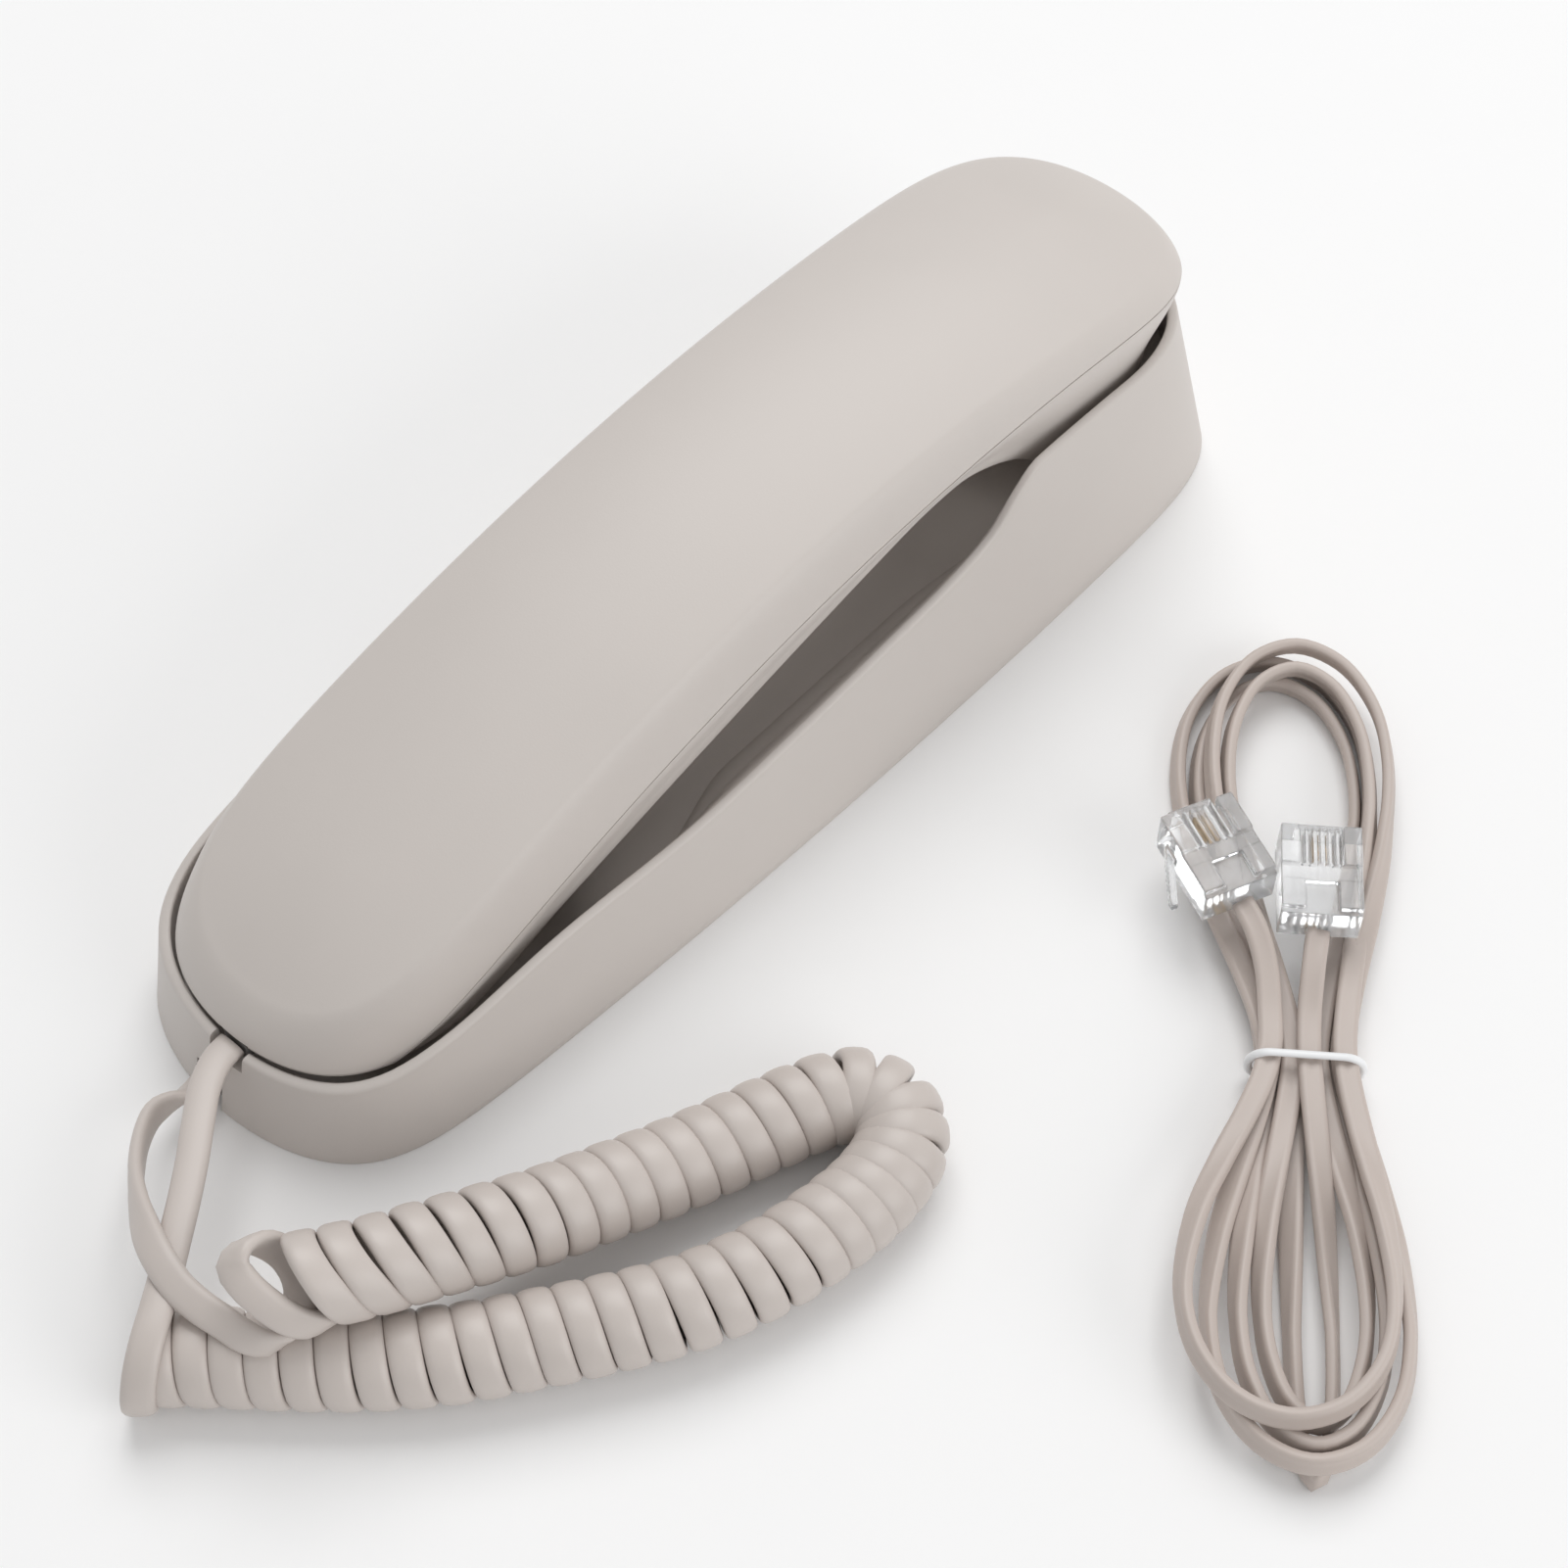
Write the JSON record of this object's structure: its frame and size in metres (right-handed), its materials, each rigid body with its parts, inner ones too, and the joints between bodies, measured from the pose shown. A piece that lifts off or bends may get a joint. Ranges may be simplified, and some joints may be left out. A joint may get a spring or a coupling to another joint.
{
  "type": "slimline wall phone",
  "caption": "Slimline wall phone: long rounded base with a cradle, handset with keypad on its underside, curly handset cord, and a flat line cord tied in a hank.",
  "frame": {"origin": "middle of the phone's length and width on the wall face of its base, cords left out", "axes": "+Z out of the wall face towards the handset's crown, +Y towards the earpiece end, -Y towards the end where both ends of the curly cord leave"},
  "size_m": [0.192, 0.2498, 0.0546],
  "materials": {
    "shell": "fine matt moulded, warm light grey-beige",
    "key": "satin moulded, a shade lighter than the shell",
    "cord": "soft satin vinyl",
    "clear_plastic": "clear moulded, polished",
    "relief": "satin vinyl",
    "membrane": "matt silicone rubber",
    "black_plastic": "moulded",
    "board": "solder mask",
    "steel": "zinc plated",
    "tie": "smooth vinyl"
  },
  "bodies": {
    "base": {"base_shell": "shell", "back_plate": "shell", "base_screw_1": "steel", "base_screw_2": "steel", "base_screw_3": "steel", "base_screw_4": "steel", "base_cord_relief": "relief", "line_jack": "black_plastic", "ringer_board": "board", "ringer_sounder": "black_plastic", "hook_switch_body": "black_plastic", "handset_cord_tail": "cord", "handset_cord_coil": "cord", "base_cord_tail": "cord", "line_cord_hank": "cord", "line_cord_tie": "tie", "line_plug_a": "clear_plastic", "line_plug_b": "clear_plastic"},
    "handset": {"handset_upper_shell": "shell", "handset_lower_shell": "shell", "handset_cord_relief": "relief", "handset_screw_1": "steel", "handset_screw_2": "steel", "receiver_capsule": "black_plastic", "microphone_capsule": "steel", "keypad_membrane": "membrane", "handset_board": "board"},
    "hook": {"hook_plunger": "key"},
    "ringer_knob": {"ringer_switch_knob": "black_plastic"},
    "key_redial_cap": {"key_redial": "key"},
    "key_flash_cap": {"key_flash": "key"},
    "key_mute_cap": {"key_mute": "key"},
    "key_1_cap": {"key_1": "key"},
    "key_2_cap": {"key_2": "key"},
    "key_3_cap": {"key_3": "key"},
    "key_4_cap": {"key_4": "key"},
    "key_5_cap": {"key_5": "key"},
    "key_6_cap": {"key_6": "key"},
    "key_7_cap": {"key_7": "key"},
    "key_8_cap": {"key_8": "key"},
    "key_9_cap": {"key_9": "key"},
    "key_star_cap": {"key_star": "key"},
    "key_0_cap": {"key_0": "key"},
    "key_hash_cap": {"key_hash": "key"}
  },
  "joints": [
    {"name": "handset_lift", "type": "slide", "parent": "base", "child": "handset", "axis": [0, 0, 1], "range_m": [0, 0.06]},
    {"name": "hook_rise", "type": "slide", "parent": "base", "child": "hook", "axis": [0, 0, 1], "range_m": [0, 0.003]},
    {"name": "ringer_slide", "type": "slide", "parent": "base", "child": "ringer_knob", "axis": [0, 1, 0], "range_m": [0, 0.006]},
    {"name": "key_redial_press", "type": "slide", "parent": "handset", "child": "key_redial_cap", "axis": [0, -0.2588, 0.9659], "range_m": [0, 0.001], "stiffness_N_per_m": 250},
    {"name": "key_flash_press", "type": "slide", "parent": "handset", "child": "key_flash_cap", "axis": [0, -0.2588, 0.9659], "range_m": [0, 0.001], "stiffness_N_per_m": 250},
    {"name": "key_mute_press", "type": "slide", "parent": "handset", "child": "key_mute_cap", "axis": [0, -0.2588, 0.9659], "range_m": [0, 0.001], "stiffness_N_per_m": 250},
    {"name": "key_1_press", "type": "slide", "parent": "handset", "child": "key_1_cap", "axis": [0, -0.2588, 0.9659], "range_m": [0, 0.001], "stiffness_N_per_m": 250},
    {"name": "key_2_press", "type": "slide", "parent": "handset", "child": "key_2_cap", "axis": [0, -0.2588, 0.9659], "range_m": [0, 0.001], "stiffness_N_per_m": 250},
    {"name": "key_3_press", "type": "slide", "parent": "handset", "child": "key_3_cap", "axis": [0, -0.2588, 0.9659], "range_m": [0, 0.001], "stiffness_N_per_m": 250},
    {"name": "key_4_press", "type": "slide", "parent": "handset", "child": "key_4_cap", "axis": [0, -0.2588, 0.9659], "range_m": [0, 0.001], "stiffness_N_per_m": 250},
    {"name": "key_5_press", "type": "slide", "parent": "handset", "child": "key_5_cap", "axis": [0, -0.2588, 0.9659], "range_m": [0, 0.001], "stiffness_N_per_m": 250},
    {"name": "key_6_press", "type": "slide", "parent": "handset", "child": "key_6_cap", "axis": [0, -0.2588, 0.9659], "range_m": [0, 0.001], "stiffness_N_per_m": 250},
    {"name": "key_7_press", "type": "slide", "parent": "handset", "child": "key_7_cap", "axis": [0, -0.2588, 0.9659], "range_m": [0, 0.001], "stiffness_N_per_m": 250},
    {"name": "key_8_press", "type": "slide", "parent": "handset", "child": "key_8_cap", "axis": [0, -0.2588, 0.9659], "range_m": [0, 0.001], "stiffness_N_per_m": 250},
    {"name": "key_9_press", "type": "slide", "parent": "handset", "child": "key_9_cap", "axis": [0, -0.2588, 0.9659], "range_m": [0, 0.001], "stiffness_N_per_m": 250},
    {"name": "key_star_press", "type": "slide", "parent": "handset", "child": "key_star_cap", "axis": [0, -0.2588, 0.9659], "range_m": [0, 0.001], "stiffness_N_per_m": 250},
    {"name": "key_0_press", "type": "slide", "parent": "handset", "child": "key_0_cap", "axis": [0, -0.2588, 0.9659], "range_m": [0, 0.001], "stiffness_N_per_m": 250},
    {"name": "key_hash_press", "type": "slide", "parent": "handset", "child": "key_hash_cap", "axis": [0, -0.2588, 0.9659], "range_m": [0, 0.001], "stiffness_N_per_m": 250}
  ],
  "couplings": [
    {"joint": "hook_rise", "follows": "handset_lift", "ratio": 0.05}
  ]
}
